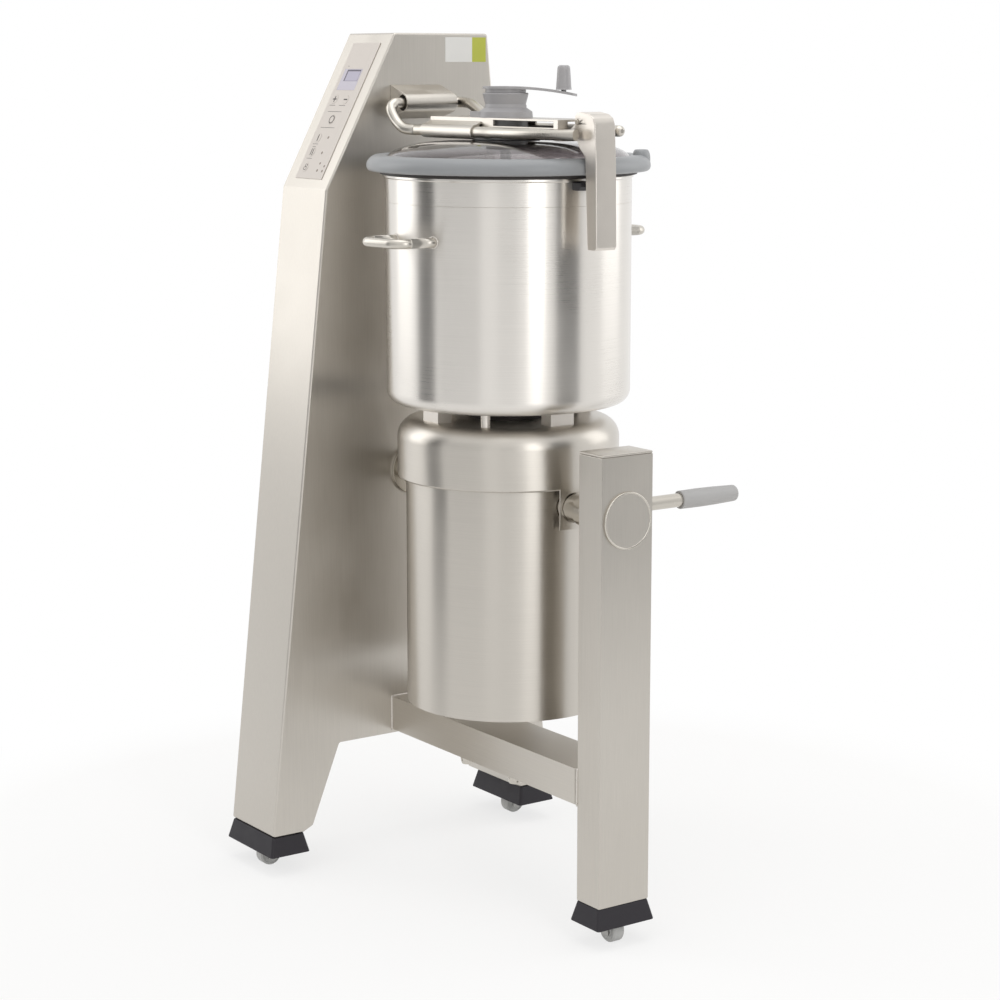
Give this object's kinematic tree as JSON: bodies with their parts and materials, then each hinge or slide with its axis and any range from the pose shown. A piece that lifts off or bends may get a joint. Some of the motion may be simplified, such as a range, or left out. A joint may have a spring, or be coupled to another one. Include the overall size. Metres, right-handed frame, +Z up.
{
  "type": "vertical cutter mixer",
  "caption": "Floor-standing vertical cutter mixer: bowl and motor tilt as one between a tall column with a keypad and a post; hinged clear lid with clamp and wiper crank.",
  "frame": {"origin": "on the floor under the middle of the machine's bounding box", "axes": "+Z up, +X from the column to the post, -Y the side the bowl empties to"},
  "size_m": [0.745, 0.588, 1.4],
  "materials": {
    "sheet_steel": "brushed stainless sheet",
    "bowl_steel": "brushed round the bowl, near mirror",
    "tube_steel": "satin tube and bar",
    "machined_steel": "turned and ground",
    "cast_clamp": "bead blasted casting",
    "zinc_steel": "zinc plated",
    "motor_iron": "painted ribbed casting",
    "boot_rubber": "matte black",
    "seal_rubber": "matte dark",
    "wheel_nylon": "light grey moulding",
    "ring_plastic": "blue grey moulding",
    "lid_grey_plastic": "satin grey moulding",
    "grip_plastic": "light grey moulding",
    "smoked_plastic": "clear, slightly smoked",
    "panel_film": "satin printed film",
    "display_glass": "pale violet display",
    "black_plastic": "dark moulding",
    "board_green": "solder resist",
    "painted_box": "grey paint",
    "wiper_plastic": "off-white moulding"
  },
  "bodies": {
    "root": {"column_shell": "sheet_steel", "column_back_panel": "sheet_steel", "back_panel_screws": "tube_steel", "control_overlay": "panel_film", "display_window": "display_glass", "control_board": "board_green", "inverter_box": "painted_box", "trunnion_bearings": "machined_steel", "crossbeam": "sheet_steel", "beam_dome_nuts": "tube_steel", "post": "sheet_steel", "post_cap": "sheet_steel", "pivot_cover": "sheet_steel", "rubber_boots": "boot_rubber", "castor_forks": "zinc_steel", "hinge_bracket": "sheet_steel", "hinge_bushes": "black_plastic", "cable_gland": "black_plastic"},
    "motor_unit": {"motor_casing": "sheet_steel", "motor_cap": "sheet_steel", "motor_base_plate": "sheet_steel", "motor_stator": "motor_iron", "trunnion_column": "machined_steel", "trunnion_post": "machined_steel", "lever_rod": "tube_steel", "lever_grip": "grip_plastic", "bowl": "bowl_steel", "bowl_collar": "bowl_steel", "bowl_handles": "bowl_steel", "bowl_catch": "seal_rubber", "bowl_feet": "bowl_steel", "shaft_seal": "seal_rubber"},
    "cutter": {"drive_shaft": "machined_steel", "motor_rotor": "motor_iron", "blade_hub": "machined_steel", "blades": "machined_steel", "blade_nut": "black_plastic"},
    "lid": {"lid_arm_shaft": "tube_steel", "lid_rail_near": "tube_steel", "lid_rail_far": "tube_steel", "yoke_plate": "sheet_steel", "lid_dome": "smoked_plastic", "lid_ring": "ring_plastic", "lid_seal": "seal_rubber", "filler_funnel": "lid_grey_plastic", "clamp_block": "tube_steel", "clamp_pin": "tube_steel"},
    "clamp": {"clamp_lever": "cast_clamp"},
    "crank": {"crank_arm": "lid_grey_plastic", "wiper": "wiper_plastic"},
    "knob": {"crank_knob": "lid_grey_plastic"},
    "key_plus": {"key_plus": "panel_film"},
    "key_minus": {"key_minus": "panel_film"},
    "key_stop": {"key_stop": "panel_film"},
    "key_run_one": {"key_run_one": "panel_film"},
    "key_run_two": {"key_run_two": "panel_film"},
    "key_pulse": {"key_pulse": "panel_film"},
    "wheel_front": {"wheel_front": "wheel_nylon"},
    "wheel_rear": {"wheel_rear": "wheel_nylon"},
    "wheel_post": {"wheel_post": "wheel_nylon"}
  },
  "joints": [
    {"name": "bowl_tilt", "type": "hinge", "parent": "root", "child": "motor_unit", "pos_m": [0.054, 0, 0.673], "axis": [1, 0, 0], "range_deg": [0, 60]},
    {"name": "lid_open", "type": "hinge", "parent": "root", "child": "lid", "pos_m": [-0.189, 0, 1.287], "axis": [0, -1, 0], "range_deg": [0, 90]},
    {"name": "clamp_swing", "type": "hinge", "parent": "lid", "child": "clamp", "pos_m": [0.259, 0, 1.264], "axis": [0, -1, 0], "range_deg": [0, 45]},
    {"name": "crank_spin", "type": "hinge", "parent": "lid", "child": "crank", "pos_m": [0.046, 0, 1.305], "axis": [0, 0, 1], "continuous": true},
    {"name": "knob_spin", "type": "hinge", "parent": "crank", "child": "knob", "pos_m": [0.0982, 0.07454, 1.31], "axis": [0, 0, 1], "continuous": true},
    {"name": "blade_spin", "type": "hinge", "parent": "motor_unit", "child": "cutter", "pos_m": [0.054, 0, 0.8], "axis": [0, 0, 1], "continuous": true},
    {"name": "key_plus_press", "type": "slide", "parent": "root", "child": "key_plus", "axis": [0, 0.8829, -0.4695], "range_m": [0, 0.0008], "stiffness_N_per_m": 300, "springref_m": -0.001},
    {"name": "key_minus_press", "type": "slide", "parent": "root", "child": "key_minus", "axis": [0, 0.8829, -0.4695], "range_m": [0, 0.0008], "stiffness_N_per_m": 300, "springref_m": -0.001},
    {"name": "key_stop_press", "type": "slide", "parent": "root", "child": "key_stop", "axis": [0, 0.8829, -0.4695], "range_m": [0, 0.0008], "stiffness_N_per_m": 300, "springref_m": -0.001},
    {"name": "key_run_one_press", "type": "slide", "parent": "root", "child": "key_run_one", "axis": [0, 0.8829, -0.4695], "range_m": [0, 0.0008], "stiffness_N_per_m": 300, "springref_m": -0.001},
    {"name": "key_run_two_press", "type": "slide", "parent": "root", "child": "key_run_two", "axis": [0, 0.8829, -0.4695], "range_m": [0, 0.0008], "stiffness_N_per_m": 300, "springref_m": -0.001},
    {"name": "key_pulse_press", "type": "slide", "parent": "root", "child": "key_pulse", "axis": [0, 0.8829, -0.4695], "range_m": [0, 0.0008], "stiffness_N_per_m": 300, "springref_m": -0.001},
    {"name": "wheel_front_roll", "type": "hinge", "parent": "root", "child": "wheel_front", "pos_m": [-0.295, -0.256, 0.02], "axis": [1, 0, 0], "continuous": true},
    {"name": "wheel_rear_roll", "type": "hinge", "parent": "root", "child": "wheel_rear", "pos_m": [-0.295, 0.256, 0.02], "axis": [1, 0, 0], "continuous": true},
    {"name": "wheel_post_roll", "type": "hinge", "parent": "root", "child": "wheel_post", "pos_m": [0.33575, 0, 0.02], "axis": [0, 1, 0], "continuous": true}
  ],
  "couplings": [
    {"joint": "lid_open", "follows": "bowl_tilt", "ratio": 1.5}
  ]
}
